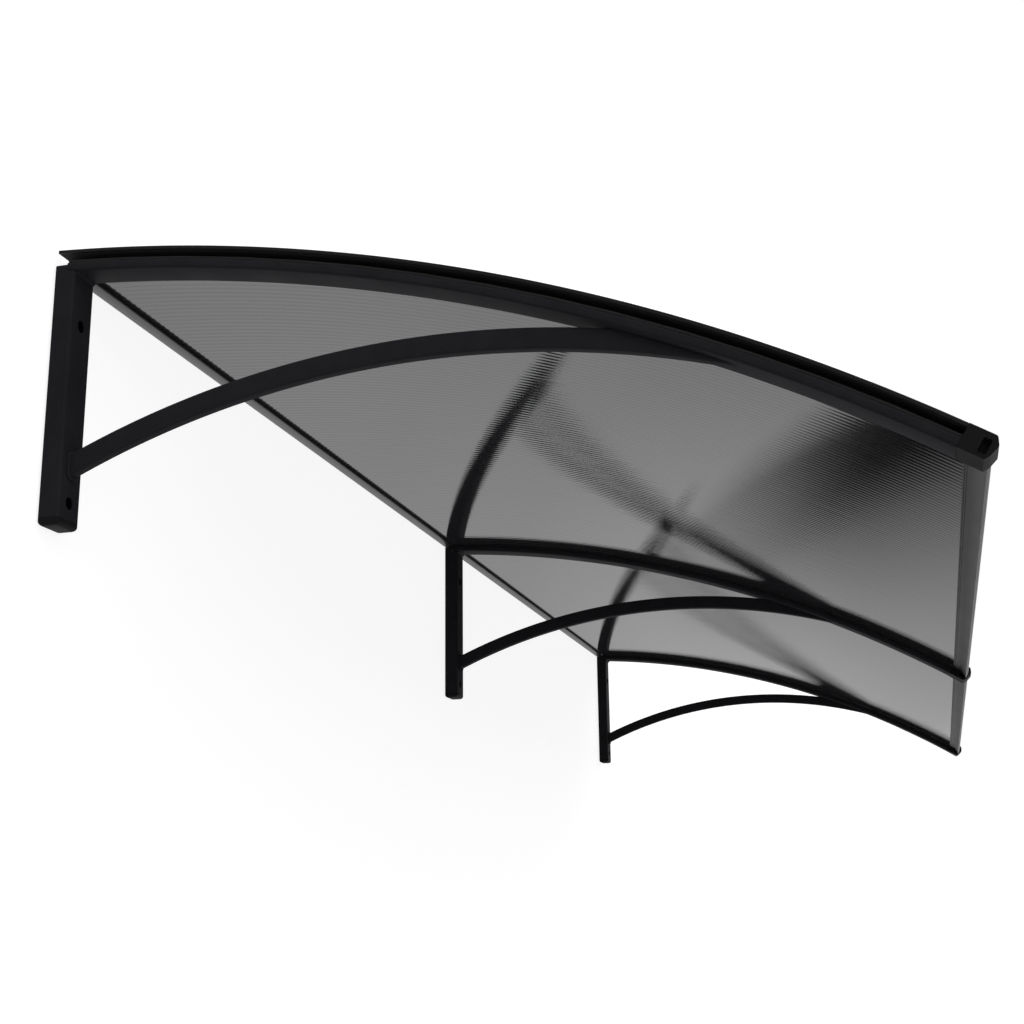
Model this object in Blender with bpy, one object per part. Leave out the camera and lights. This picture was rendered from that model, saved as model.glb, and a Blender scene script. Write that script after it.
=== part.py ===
"""Curved door canopy: twin-wall polycarbonate on three welded wall brackets.

+X runs along the wall, to the right as one faces it. +Y points into the wall, whose face is Y = 0,
and +Z is up. The origin is on the wall face at the middle bracket, halfway between its two fixings.
All sizes are in metres.

A roof section is drawn as (x, rise): x from the bracket's middle, and rise from the underside of
the arms, along the roof's radius. A front section is drawn as (reach, rise) from the end of the
arms' underside, reach running on along the roof and rise square to it.
"""
from math import acos, asin, atan2, cos, hypot, pi, radians, sin, sqrt

import bmesh
import bpy
from mathutils import Matrix, Vector

# Layout
BAY_WIDTH = 1.175            # between the middles of neighbouring brackets
PROJECTION = 0.8205          # from the wall to the nose of the front caps
GAP = 0.0003                 # between pieces that touch
BRACKETS = {"left": -1, "middle": 0, "right": 1}

# Uprights
UPRIGHT_LENGTH = 0.2503
UPRIGHT_WIDTH = 0.0348
UPRIGHT_DEPTH = 0.0214
TUBE_WALL = 0.0016
UPRIGHT_CORNER = 0.003
FIXING_SPACING = 0.1706      # between the upper and the lower fixing hole
FOOT_TO_FIXING = 0.0231
FIXING_BORE = 0.0085         # back wall, for the bolt
TOOL_BORE = 0.012            # front wall, for the bolt's head
PLUG_FLANGE = 0.002
PLUG_SHANK = 0.010
PLUG_CHAMFER = 0.0008

# Roof curve and arms
ROOF_RADIUS = 1.6822         # underside of the arms
ROOF_CREST = 0.0916          # the curve's highest point, this far behind the wall's face
ARM_SEAT = 0.0053            # how deep the arms sit in the uprights' tops
ARM_SETBACK = 0.0131         # from the wall to the arms' rear ends
ARM_HEIGHT = 0.009
ARM_CORNER = 0.0028

# Braces
BRACE_RADIUS = 0.8474        # underside
BRACE_FOOT_RISE = 0.0472     # from the uprights' feet to the underside of the braces' rear ends
BRACE_STOP = 0.1863          # along the arms, from the braces' tips to the arms' front ends
BRACE_WIDTH = 0.012
BRACE_HEIGHT = 0.0191
BRACE_WALL = 0.0015
BRACE_CORNER = 0.002
WELD_LEG = 0.003
WELD_BELLY = 0.12            # how far the round weld bulges, as a share of its legs
WELD_THROAT = 0.62           # where the straight weld's middle lies along both legs

# Glazing
SHEET_THICKNESS = 0.006
SHEET_SKIN = 0.0007
SHEET_WEB = 0.0012
FLUTES = 20                  # hollow channels in each sheet
SHEET_TO_MIDDLE = 0.004      # from a bracket's middle to the edge of the sheet
SHEET_LAP = 0.012            # how far the sheets reach past the arms, into the front profile
BED_SEAL = 0.002
BED_SEAL_WIDTH = 0.031
STRIP_HEIGHT = 0.0035
STRIP_WEB = 0.0017
STRIP_LIP = 0.0017
STRIP_CHAMFER = 0.0008
STRIP_SETBACK = 0.003        # from the wall to the cover strips' rear ends

# Wall rail
RAIL_DEPTH = 0.013
RAIL_WALL = 0.0015
RAIL_DROP = 0.0045           # from the sheet's underside to the rail's, at the rail's lip
RAIL_SEAL_DEPTH = 0.0036

# Front profile and caps
PROFILE_SETBACK = 0.002      # from the arms' ends to the profile's inner edge
PROFILE_WALL = 0.0015
NOSE_RADIUS = 0.011
NOSE_DROP = 0.0052           # how far the nose hangs below the profile's channel
NOSE_LIP = 0.001
CAP_REACH = 0.0278           # front corner of the cap
CAP_NOSE_RISE = 0.0145
CAP_FOOT_REACH = 0.0225      # where the cap's underside turns up
CAP_CHIN_REACH = 0.0255      # lower corner of its slanted front
CAP_CHIN_RISE = 0.0045
CAP_TOP_REACH = 0.0235       # where its top turns down
CAP_FILLET = 0.003
CAP_POCKET_DEPTH = 0.003
CAP_POCKET_RADIUS = 0.0042
CAP_POCKET_REACH = 0.0165

# Screws of the cover strips
SCREWS_PER_STRIP = 4
SCREW_MARGIN = 0.055         # from the ends of the strip to its first and last screw
SCREW_HEAD = 0.0085
SCREW_HEAD_HEIGHT = 0.0028
SCREW_SHANK = 0.004
SCREW_TIP_RISE = 0.0035      # how far above the arms' underside the screws end
SCREW_POINT = 0.0032         # length of the screws' points
DOME_RADIUS = 0.0038         # of the heads' round tops
DOME_END = 38                # degrees above level where the round tops end
HEAD_RIM = 0.001             # height of the heads' upright rims

# Fineness of the curves
ROOF_STEPS = 14
BRACE_STEPS = 12
CORNER_STEPS = 2
HOLE_SIDES = 12
SCREW_SIDES = 8
FILLET_STEPS = 4
NOSE_STEPS = 6
DOME_STEPS = 2
SMOOTH_BELOW = 35            # degrees between faces that are shaded smooth
MERGE_DISTANCE = 0.00001

# Levels and places that follow from the sizes above
FOOT_Z = -FIXING_SPACING / 2 - FOOT_TO_FIXING
UPRIGHT_TOP = FOOT_Z + UPRIGHT_LENGTH
ROOF_CENTRE_Z = UPRIGHT_TOP - ARM_SEAT - sqrt(ROOF_RADIUS ** 2 - ROOF_CREST ** 2)
SHEET_LOW = ARM_HEIGHT + GAP + BED_SEAL + GAP
SHEET_HIGH = SHEET_LOW + SHEET_THICKNESS
STRIP_LOW = SHEET_HIGH + GAP
STRIP_TOP = STRIP_LOW + STRIP_HEIGHT
SHEET_REAR_Y = -RAIL_WALL - GAP


class Arc:
    """A circle in the plane across the wall, with angles measured forward from straight up."""

    def __init__(self, centre_y, centre_z, radius):
        self.centre_y = centre_y
        self.centre_z = centre_z
        self.radius = radius

    def point(self, x, rise, angle):
        """The place at x, rise metres outside the circle."""
        reach = self.radius + rise
        return Vector((x, self.centre_y - reach * sin(angle), self.centre_z + reach * cos(angle)))

    def angle_at(self, y, rise):
        """The angle where the circle of that rise crosses the plane Y = y."""
        return asin((self.centre_y - y) / (self.radius + rise))

    def height_at(self, y, rise):
        """The level of the circle of that rise at Y = y."""
        return self.point(0, rise, self.angle_at(y, rise)).z

    def angle_meeting(self, other, rise, other_rise):
        """The forward angle where the circle of that rise meets the other one."""
        own = self.radius + rise
        theirs = other.radius + other_rise
        run = other.centre_y - self.centre_y
        climb = other.centre_z - self.centre_z
        between = hypot(run, climb)
        spread = acos((own ** 2 + between ** 2 - theirs ** 2) / (2 * own * between))
        return atan2(-run, climb) + spread


def arc_over(rear, front, radius):
    """The arc of that radius that rises between two points."""
    chord = front - rear
    drop = sqrt(radius ** 2 - chord.length_squared / 4)
    down = Vector((0, chord.z, -chord.y)).normalized()
    centre = (rear + front) / 2 + down * (drop if down.z < 0 else -drop)
    return Arc(centre.y, centre.z, radius)


ROOF = Arc(ROOF_CREST, ROOF_CENTRE_Z, ROOF_RADIUS)

# The arms end where a cap in front of them has its nose at the full projection.
CAP_SWING = hypot(ROOF_RADIUS + CAP_NOSE_RISE, CAP_REACH)
ARM_END = asin((ROOF_CREST + PROJECTION) / CAP_SWING) - atan2(CAP_REACH, ROOF_RADIUS + CAP_NOSE_RISE)

# The braces' undersides run from the uprights' front faces to the arms' undersides.
BRACE_REAR = Vector((0, -UPRIGHT_DEPTH - GAP, FOOT_Z + BRACE_FOOT_RISE))
BRACE_TIP = ROOF.point(0, -GAP, ARM_END - BRACE_STOP / ROOF_RADIUS)
BRACE = arc_over(BRACE_REAR, BRACE_TIP, BRACE_RADIUS)


def clear_scene():
    """Remove everything the file opened with."""
    for thing in list(bpy.data.objects):
        bpy.data.objects.remove(thing, do_unlink=True)


def finish(name, colour, roughness, metallic=0.0, alpha=1.0):
    """A material with one Principled BSDF."""
    material = bpy.data.materials.new(name)
    material.use_nodes = True
    shader = material.node_tree.nodes["Principled BSDF"]
    shader.inputs["Base Color"].default_value = (*colour, 1.0)
    shader.inputs["Roughness"].default_value = roughness
    shader.inputs["Metallic"].default_value = metallic
    shader.inputs["Alpha"].default_value = alpha
    return material


def rounded_rectangle(width, low, high, radius, steps=CORNER_STEPS):
    """Points anticlockwise round a rectangle with round corners."""
    points = []
    for side, level, first in ((1, -1, -90), (1, 1, 0), (-1, 1, 90), (-1, -1, 180)):
        corner_x = side * (width / 2 - radius)
        corner_v = high - radius if level > 0 else low + radius
        for step in range(steps + 1):
            turn = radians(first + 90 * step / steps)
            points.append((corner_x + radius * cos(turn), corner_v + radius * sin(turn)))
    return points


def rectangle(left, right, low, high):
    """The four corners, anticlockwise."""
    return [(left, low), (right, low), (right, high), (left, high)]


def bow(centre, radius, first, last, steps):
    """Points on an arc between two angles in degrees."""
    turns = [radians(first + (last - first) * step / steps) for step in range(steps + 1)]
    return [(centre[0] + radius * cos(turn), centre[1] + radius * sin(turn)) for turn in turns]


def filleted(corners, radii, steps=FILLET_STEPS):
    """An outline whose corners are rounded, each by its own radius; 0 keeps a corner sharp."""
    outline = []
    for i, (corner, radius) in enumerate(zip(corners, radii)):
        here = Vector(corner)
        if radius == 0:
            outline.append(corner)
            continue
        back = (Vector(corners[i - 1]) - here).normalized()
        ahead = (Vector(corners[(i + 1) % len(corners)]) - here).normalized()
        half = back.angle(ahead) / 2
        centre = here + (back + ahead).normalized() * radius / sin(half)
        start = here + back * radius / (sin(half) / cos(half)) - centre
        sweep_angle = pi - 2 * half
        side = 1 if back.cross(ahead) < 0 else -1
        for step in range(steps + 1):
            spoke = Matrix.Rotation(side * sweep_angle * step / steps, 2) @ start
            outline.append(tuple(centre + spoke))
    return outline


def swept(loops, place, steps):
    """A closed body carried from station 0 to 1: loops[0] is its outline and the rest are hollows."""
    body = bmesh.new()
    ends = ([], [])
    for loop in loops:
        rings = [[body.verts.new(place(a, b, step / steps)) for a, b in loop] for step in range(steps + 1)]
        for ring, following in zip(rings, rings[1:]):
            for j in range(len(loop)):
                body.faces.new((ring[j - 1], ring[j], following[j], following[j - 1]))
        for edges, ring in zip(ends, (rings[0], rings[-1])):
            edges += [body.edges.get((ring[j - 1], ring[j])) for j in range(len(ring))]
    for edges in ends:
        bmesh.ops.triangle_fill(body, edges=edges, use_beauty=True)
    return closed_mesh(body)


def stacked(rings):
    """A closed body through rings of equal counts, capped at both ends."""
    body = bmesh.new()
    loops = [[body.verts.new(point) for point in ring] for ring in rings]
    for loop, following in zip(loops, loops[1:]):
        for j in range(len(loop)):
            body.faces.new((loop[j - 1], loop[j], following[j], following[j - 1]))
    body.faces.new(loops[0])
    body.faces.new(loops[-1])
    return closed_mesh(body)


def looped(rings):
    """A closed body through rings that come round to the first again."""
    body = bmesh.new()
    loops = [[body.verts.new(point) for point in ring] for ring in rings]
    for i, loop in enumerate(loops):
        before = loops[i - 1]
        for j in range(len(loop)):
            body.faces.new((before[j - 1], before[j], loop[j], loop[j - 1]))
    return closed_mesh(body)


def closed_mesh(body):
    """Turn a finished bmesh into a mesh with its faces pointing out."""
    bmesh.ops.recalc_face_normals(body, faces=body.faces)
    mesh = bpy.data.meshes.new("piece")
    body.to_mesh(mesh)
    body.free()
    if sum(face.center.dot(face.normal) * face.area for face in mesh.polygons) < 0:
        mesh.flip_normals()
    return mesh


def drilled(mesh, cutters):
    """The mesh less each cutter mesh, as a new mesh."""
    holder = bpy.data.objects.new("holder", mesh)
    bpy.context.scene.collection.objects.link(holder)
    tools = []
    for cutter in cutters:
        tool = bpy.data.objects.new("cutter", cutter)
        tool.hide_render = True
        tool.display_type = "WIRE"
        bpy.context.scene.collection.objects.link(tool)
        cut = holder.modifiers.new("cut", "BOOLEAN")
        cut.operation = "DIFFERENCE"
        cut.solver = "EXACT"
        cut.object = tool
        tools.append(tool)
    scene_state = bpy.context.evaluated_depsgraph_get()
    result = bpy.data.meshes.new_from_object(holder.evaluated_get(scene_state))
    for thing in (holder, *tools):
        bpy.data.objects.remove(thing, do_unlink=True)
    return result


def cylinder(radius, start, end, sides=HOLE_SIDES):
    """A closed cylinder between two points."""
    axis = end - start
    body = bmesh.new()
    place = Matrix.Translation((start + end) / 2) @ axis.to_track_quat("Z", "Y").to_matrix().to_4x4()
    bmesh.ops.create_cone(body, cap_ends=True, segments=sides, radius1=radius, radius2=radius,
                          depth=axis.length, matrix=place)
    return closed_mesh(body)


def joined(meshes):
    """One mesh that holds several separate closed shells."""
    body = bmesh.new()
    for mesh in meshes:
        body.from_mesh(mesh)
    return closed_mesh(body)


def add(name, mesh, material, x=0.0, smooth=True):
    """One named piece of the canopy."""
    own = mesh.copy()
    own.name = name
    own.materials.clear()
    own.materials.append(material)
    if smooth:
        own.shade_smooth()
        own.set_sharp_from_angle(angle=radians(SMOOTH_BELOW))
    thing = bpy.data.objects.new(name, own)
    thing.location = (x, 0, 0)
    bpy.context.scene.collection.objects.link(thing)
    return thing


def on_roof(start, end):
    """Places roof sections between two end rules, each of which gives an angle for a rise."""
    def place(x, rise, station):
        first = start(rise)
        return ROOF.point(x, rise, first + (end(rise) - first) * station)
    return place


def from_wall(distance):
    """An end cut upright, that far in front of the wall."""
    return lambda rise: ROOF.angle_at(-distance, rise)


def at_angle(angle):
    """An end cut square across the roof."""
    return lambda rise: angle


def front_point(reach, rise):
    """Y and Z of a point of a front section."""
    corner = ROOF.point(0, 0, ARM_END)
    y = corner.y - reach * cos(ARM_END) - rise * sin(ARM_END)
    z = corner.z - reach * sin(ARM_END) + rise * cos(ARM_END)
    return y, z


def along_wall(left, right, place=lambda a, b: (a, b)):
    """Places a section drawn in Y and Z, or mapped to them, between two values of X."""
    def put(a, b, station):
        return Vector((left + (right - left) * station, *place(a, b)))
    return put


def upright_mesh():
    """Rectangular tube with round corners, two fixing holes and a top cut to seat the arm."""
    back = -UPRIGHT_DEPTH
    outer = rounded_rectangle(UPRIGHT_WIDTH, back, 0, UPRIGHT_CORNER)
    inside = UPRIGHT_WIDTH / 2 - TUBE_WALL
    inner = rectangle(-inside, inside, back + TUBE_WALL, -TUBE_WALL)
    low = FOOT_Z + PLUG_FLANGE + GAP
    tube = swept([outer, inner], lambda x, y, t: Vector((x, y, low + (UPRIGHT_TOP - low) * t)), 1)
    cutters = [seat_cutter()]
    for z in (-FIXING_SPACING / 2, FIXING_SPACING / 2):
        middle = Vector((0, -UPRIGHT_DEPTH / 2, z))
        reach = Vector((0, UPRIGHT_DEPTH, 0))
        cutters.append(cylinder(FIXING_BORE / 2, middle, middle + reach))
        cutters.append(cylinder(TOOL_BORE / 2, middle - reach, middle))
    return drilled(tube, cutters)


def seat_cutter():
    """Everything above the arm's underside, from just behind the arm's rear end forward."""
    section = rectangle(-UPRIGHT_WIDTH, UPRIGHT_WIDTH, -GAP, STRIP_TOP)
    return swept([section], on_roof(from_wall(ARM_SETBACK - GAP), from_wall(2 * UPRIGHT_DEPTH)), 2)


def plug_mesh():
    """Plug in the upright's foot: a chamfered flange and a shank that fits the tube."""
    def ring(inset, z):
        points = rounded_rectangle(UPRIGHT_WIDTH - 2 * inset, -UPRIGHT_DEPTH + inset, -inset,
                                   max(UPRIGHT_CORNER - inset, GAP))
        return [(x, y, z) for x, y in points]
    fit = TUBE_WALL + GAP
    shoulder = FOOT_Z + PLUG_FLANGE
    return stacked([ring(PLUG_CHAMFER, FOOT_Z), ring(0, FOOT_Z + PLUG_CHAMFER), ring(0, shoulder),
                    ring(fit, shoulder), ring(fit, shoulder + PLUG_SHANK)])


def arm_mesh():
    """Curved flat tube that carries the roof, with pilot holes for the strip's screws."""
    outer = rounded_rectangle(UPRIGHT_WIDTH, 0, ARM_HEIGHT, ARM_CORNER)
    inside = UPRIGHT_WIDTH / 2 - TUBE_WALL
    inner = rectangle(-inside, inside, TUBE_WALL, ARM_HEIGHT - TUBE_WALL)
    tube = swept([outer, inner], on_roof(from_wall(ARM_SETBACK), at_angle(ARM_END)), ROOF_STEPS)
    return drilled(tube, [screw_cutter()])


def brace_mesh():
    """Curved tube from the upright's front face to the arm's underside."""
    outer = rounded_rectangle(BRACE_WIDTH, 0, BRACE_HEIGHT, BRACE_CORNER)
    inside = BRACE_WIDTH / 2 - BRACE_WALL
    inner = rectangle(-inside, inside, BRACE_WALL, BRACE_HEIGHT - BRACE_WALL)

    def place(x, rise, station):
        first = BRACE.angle_at(-UPRIGHT_DEPTH - GAP, rise)
        last = BRACE.angle_meeting(ROOF, rise, -GAP)
        return BRACE.point(x, rise, first + (last - first) * station)
    return swept([outer, inner], place, BRACE_STEPS)


def brace_weld_mesh():
    """Fillet weld round the brace where it stands on the upright's face."""
    face = -UPRIGHT_DEPTH - GAP
    lean = BRACE.angle_at(face, BRACE_HEIGHT / 2)
    along = Vector((0, -cos(lean), -sin(lean))) * WELD_LEG
    low = BRACE.height_at(face, 0)
    high = BRACE.height_at(face, BRACE_HEIGHT)
    rings = []
    inner = rounded_rectangle(BRACE_WIDTH + 2 * GAP, low - GAP, high + GAP, BRACE_CORNER)
    outer = rounded_rectangle(BRACE_WIDTH + 2 * GAP + 2 * WELD_LEG, low - GAP - WELD_LEG,
                              high + GAP + WELD_LEG, BRACE_CORNER + WELD_LEG)
    for (near_x, near_z), (far_x, far_z) in zip(inner, outer):
        root = Vector((near_x, face, near_z))
        toe = Vector((far_x, face, far_z))
        crown = root + along
        belly = (toe + crown) / 2 + (toe - root + along) * WELD_BELLY
        rings.append([root, toe, belly, crown])
    return looped(rings)


def arm_weld_mesh():
    """Fillet weld in the corner between the upright's face and the arm's underside."""
    face = -UPRIGHT_DEPTH - GAP
    top = ROOF.height_at(face - WELD_LEG, 0) - GAP
    throat = WELD_THROAT * WELD_LEG
    section = [(face, top), (face, top - WELD_LEG), (face - throat, top - throat), (face - WELD_LEG, top)]
    half = UPRIGHT_WIDTH / 2 - ARM_CORNER
    return swept([section], along_wall(-half, half), 1)


def bed_seal_mesh():
    """Flat rubber bed between the arm and the sheets."""
    low = ARM_HEIGHT + GAP
    section = rectangle(-BED_SEAL_WIDTH / 2, BED_SEAL_WIDTH / 2, low, low + BED_SEAL)
    bed = swept([section], on_roof(from_wall(ARM_SETBACK), at_angle(ARM_END)), ROOF_STEPS)
    return drilled(bed, [screw_cutter()])


def strip_mesh():
    """Cover strip: a shallow channel whose lips press beside its seal."""
    half = UPRIGHT_WIDTH / 2
    inside = half - STRIP_LIP
    under_web = STRIP_TOP - STRIP_WEB
    section = [(-half, STRIP_LOW), (-inside, STRIP_LOW), (-inside, under_web), (inside, under_web),
               (inside, STRIP_LOW), (half, STRIP_LOW), (half, STRIP_TOP - STRIP_CHAMFER),
               (half - STRIP_CHAMFER, STRIP_TOP), (-half + STRIP_CHAMFER, STRIP_TOP),
               (-half, STRIP_TOP - STRIP_CHAMFER)]
    strip = swept([section], on_roof(from_wall(STRIP_SETBACK), at_angle(ARM_END)), ROOF_STEPS)
    return drilled(strip, [screw_cutter()])


def strip_seal_mesh():
    """Rubber between the cover strip's lips, pressing on the sheets."""
    half = UPRIGHT_WIDTH / 2 - STRIP_LIP - GAP
    section = rectangle(-half, half, STRIP_LOW, STRIP_TOP - STRIP_WEB - GAP)
    seal = swept([section], on_roof(from_wall(STRIP_SETBACK), at_angle(ARM_END)), ROOF_STEPS)
    return drilled(seal, [screw_cutter()])


def screw_angles():
    """Where the screws stand along the roof."""
    first = ROOF.angle_at(-STRIP_SETBACK - SCREW_MARGIN, STRIP_TOP)
    last = ARM_END - SCREW_MARGIN / ROOF_RADIUS
    return [first + (last - first) * i / (SCREWS_PER_STRIP - 1) for i in range(SCREWS_PER_STRIP)]


def screw_cutter():
    """Clearance holes along the middle of a bracket, from inside the arm up through its strip."""
    radius = SCREW_SHANK / 2 + GAP
    low = ARM_HEIGHT / 2
    return joined([cylinder(radius, ROOF.point(0, low, angle), ROOF.point(0, STRIP_TOP + STRIP_WEB, angle),
                            SCREW_SIDES) for angle in screw_angles()])


def screw_mesh():
    """Pan-head screw standing along +Z, with its underside of head at Z = 0."""
    head = SCREW_HEAD / 2
    shank = SCREW_SHANK / 2
    length = STRIP_TOP + GAP - SCREW_TIP_RISE
    dome = bow((0, SCREW_HEAD_HEIGHT - DOME_RADIUS), DOME_RADIUS, 90, DOME_END, DOME_STEPS)
    profile = dome + [(head, HEAD_RIM), (head, 0), (shank, 0), (shank, SCREW_POINT - length), (0, -length)]
    mesh = bpy.data.meshes.new("screw")
    lines = [(i, i + 1) for i in range(len(profile) - 1)]
    mesh.from_pydata([(max(r, 0), 0, z) for r, z in profile], lines, [])
    holder = bpy.data.objects.new("holder", mesh)
    bpy.context.scene.collection.objects.link(holder)
    turn = holder.modifiers.new("turn", "SCREW")
    turn.axis = "Z"
    turn.steps = SCREW_SIDES
    turn.render_steps = SCREW_SIDES
    turn.use_merge_vertices = True
    turn.merge_threshold = MERGE_DISTANCE
    scene_state = bpy.context.evaluated_depsgraph_get()
    body = bmesh.new()
    body.from_mesh(bpy.data.meshes.new_from_object(holder.evaluated_get(scene_state)))
    bpy.data.objects.remove(holder, do_unlink=True)
    bmesh.ops.remove_doubles(body, verts=body.verts, dist=MERGE_DISTANCE)
    return closed_mesh(body)


def sheet_mesh(left, right):
    """Twin-wall sheet between two values of X: two skins joined by webs, open at both ends."""
    low = SHEET_LOW + SHEET_SKIN
    high = SHEET_HIGH - SHEET_SKIN
    pitch = (right - left - SHEET_WEB) / FLUTES
    loops = [rectangle(left, right, SHEET_LOW, SHEET_HIGH)]
    for i in range(FLUTES):
        start = left + SHEET_WEB + i * pitch
        loops.append(rectangle(start, start + pitch - SHEET_WEB, low, high))
    front = ARM_END + SHEET_LAP / (ROOF_RADIUS + SHEET_LOW)
    return swept(loops, on_roof(from_wall(-SHEET_REAR_Y), at_angle(front)), ROOF_STEPS)


def rail_levels():
    """Underside of the wall rail and underside of its upper flange."""
    low = ROOF.height_at(-RAIL_DEPTH, SHEET_LOW) - RAIL_DROP
    high = ROOF.height_at(SHEET_REAR_Y, SHEET_HIGH) + GAP
    return low, high


def rail_mesh(left, right):
    """Wall rail: a channel, open to the front, that takes the sheet's rear edge."""
    low, high = rail_levels()
    section = [(0, low), (0, high + RAIL_WALL), (-RAIL_DEPTH, high + RAIL_WALL), (-RAIL_DEPTH, high),
               (-RAIL_WALL, high), (-RAIL_WALL, low + RAIL_WALL), (-RAIL_DEPTH, low + RAIL_WALL),
               (-RAIL_DEPTH, low)]
    return swept([section], along_wall(left, right), 1)


def rail_seal_mesh(left, right):
    """Rubber lip on the rail's lower flange, under the sheet."""
    low = rail_levels()[0] + RAIL_WALL + GAP
    front = -RAIL_DEPTH
    back = front + RAIL_SEAL_DEPTH
    section = [(front, low), (back, low), (back, ROOF.height_at(back, SHEET_LOW) - GAP),
               (front, ROOF.height_at(front, SHEET_LOW) - GAP)]
    return swept([section], along_wall(left, right), 1)


def front_profile_mesh(left, right):
    """Front profile: a channel on the sheet's front edge, with a hollow round nose that sheds water."""
    under = SHEET_LOW - GAP
    over = SHEET_HIGH + GAP
    bottom = under - PROFILE_WALL
    top = over + PROFILE_WALL
    stop = SHEET_LAP + GAP
    root = stop + PROFILE_WALL
    axis = (root, top - NOSE_RADIUS)
    tip = root + NOSE_RADIUS
    drip = bottom - NOSE_DROP
    inner_edge = PROFILE_SETBACK
    outline = [(inner_edge, bottom), (root, bottom), (tip - NOSE_LIP, drip), (tip, drip + NOSE_LIP)]
    outline += bow(axis, NOSE_RADIUS, 0, 90, NOSE_STEPS)
    outline += [(inner_edge, top), (inner_edge, over), (stop, over), (stop, under), (inner_edge, under)]
    inner = NOSE_RADIUS - PROFILE_WALL
    chamber = [(root, bottom + PROFILE_WALL), (root + inner, drip + PROFILE_WALL + NOSE_LIP)]
    chamber += bow(axis, inner, 0, 90, NOSE_STEPS)
    return swept([outline, chamber], along_wall(left, right, front_point), 1)


def front_cap_mesh(sides):
    """Moulded cap on the end of an arm and its strip, slotted for the sheet on the given sides."""
    half = UPRIGHT_WIDTH / 2
    corners = [(GAP, 0), (CAP_FOOT_REACH, 0), (CAP_CHIN_REACH, CAP_CHIN_RISE),
               (CAP_REACH, CAP_NOSE_RISE), (CAP_TOP_REACH, STRIP_TOP), (GAP, STRIP_TOP)]
    outline = filleted(corners, (0, CAP_FILLET / 2, CAP_FILLET, CAP_FILLET, CAP_FILLET, 0))
    body = swept([outline], along_wall(-half, half, front_point), 1)
    slot = rectangle(-SHEET_LAP, SHEET_LAP + GAP, SHEET_LOW - GAP, SHEET_HIGH + GAP)
    pocket = bow((CAP_POCKET_REACH, STRIP_TOP / 2), CAP_POCKET_RADIUS, 0, 360, HOLE_SIDES)[:-1]
    cutters = []
    for side in (-1, 1):
        if side in sides:
            inside = side * (SHEET_TO_MIDDLE - GAP)
            cutters.append(swept([slot], along_wall(inside, side * 2 * half, front_point), 1))
        floor = side * (half - CAP_POCKET_DEPTH)
        cutters.append(swept([pocket], along_wall(floor, side * 2 * half, front_point), 1))
    return drilled(body, cutters)


def build_brackets():
    """Three welded brackets with their foot plugs, seals, cover strips, screws and front caps."""
    powder = finish("black powder coat", (0.018, 0.018, 0.020), 0.45, 0.2)
    plastic = finish("black moulded plastic", (0.025, 0.025, 0.027), 0.5)
    rubber = finish("black rubber", (0.012, 0.012, 0.012), 0.8)
    strip_paint = finish("black coated aluminium", (0.02, 0.02, 0.022), 0.4, 0.3)
    steel = finish("blackened screw steel", (0.06, 0.06, 0.065), 0.35, 0.9)
    common = {"upright": (upright_mesh(), powder), "foot_plug": (plug_mesh(), plastic),
              "arm": (arm_mesh(), powder), "brace": (brace_mesh(), powder),
              "brace_weld": (brace_weld_mesh(), powder), "arm_weld": (arm_weld_mesh(), powder),
              "bed_seal": (bed_seal_mesh(), rubber), "cover_strip": (strip_mesh(), strip_paint),
              "strip_seal": (strip_seal_mesh(), rubber)}
    screw = screw_mesh()
    for side, place in BRACKETS.items():
        x = place * BAY_WIDTH
        for piece, (mesh, material) in common.items():
            add(f"{side}_{piece}", mesh, material, x)
        slots = [s for s in (-1, 1) if abs(place + s) <= 1]
        add(f"{side}_front_cap", front_cap_mesh(slots), plastic, x)
        for number, angle in enumerate(screw_angles(), start=1):
            thing = add(f"{side}_strip_screw_{number}", screw, steel, x)
            thing.location = ROOF.point(x, STRIP_TOP + GAP, angle)
            thing.rotation_euler = (angle, 0, 0)


def build_bays():
    """The two glazed bays: sheet, wall rail, rail seal and front profile."""
    glazing = finish("smoke twin-wall polycarbonate", (0.16, 0.16, 0.17), 0.2, 0.0, 0.75)
    rubber = finish("black lip rubber", (0.012, 0.012, 0.012), 0.8)
    coat = finish("black coated profile", (0.03, 0.03, 0.033), 0.35, 0.3)
    for side, place in (("left", -1), ("right", 0)):
        start = place * BAY_WIDTH
        end = start + BAY_WIDTH
        edge = UPRIGHT_WIDTH / 2 + GAP
        add(f"{side}_sheet", sheet_mesh(start + SHEET_TO_MIDDLE, end - SHEET_TO_MIDDLE), glazing)
        add(f"{side}_wall_rail", rail_mesh(start + edge, end - edge), coat, smooth=False)
        add(f"{side}_rail_seal", rail_seal_mesh(start + edge, end - edge), rubber, smooth=False)
        add(f"{side}_front_profile", front_profile_mesh(start + edge, end - edge), coat)


def main():
    """Build the whole canopy."""
    clear_scene()
    build_brackets()
    build_bays()


main()
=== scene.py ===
"""Looks of a curved door canopy: smoke twin-wall glazing on three welded brackets.

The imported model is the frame. +X runs along the wall, +Y into it (its face is Y = 0) and +Z is up,
in metres. A roof section is drawn as (x, rise): x from a bracket's middle, and the rise square to the
underside of the arms. A front section is drawn as (reach, rise) from the end of the arms' underside.
"""

import logging
from dataclasses import dataclass
from enum import Enum
from math import acos, asin, atan2, cos, dist, hypot, pi, radians, sin, sqrt, tan
from typing import Callable, Iterable, Sequence

import bmesh
import bpy
from bpy.types import Material, Mesh, Node, NodeSocket, NodeTree, Object
from mathutils import Matrix, Vector


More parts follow.
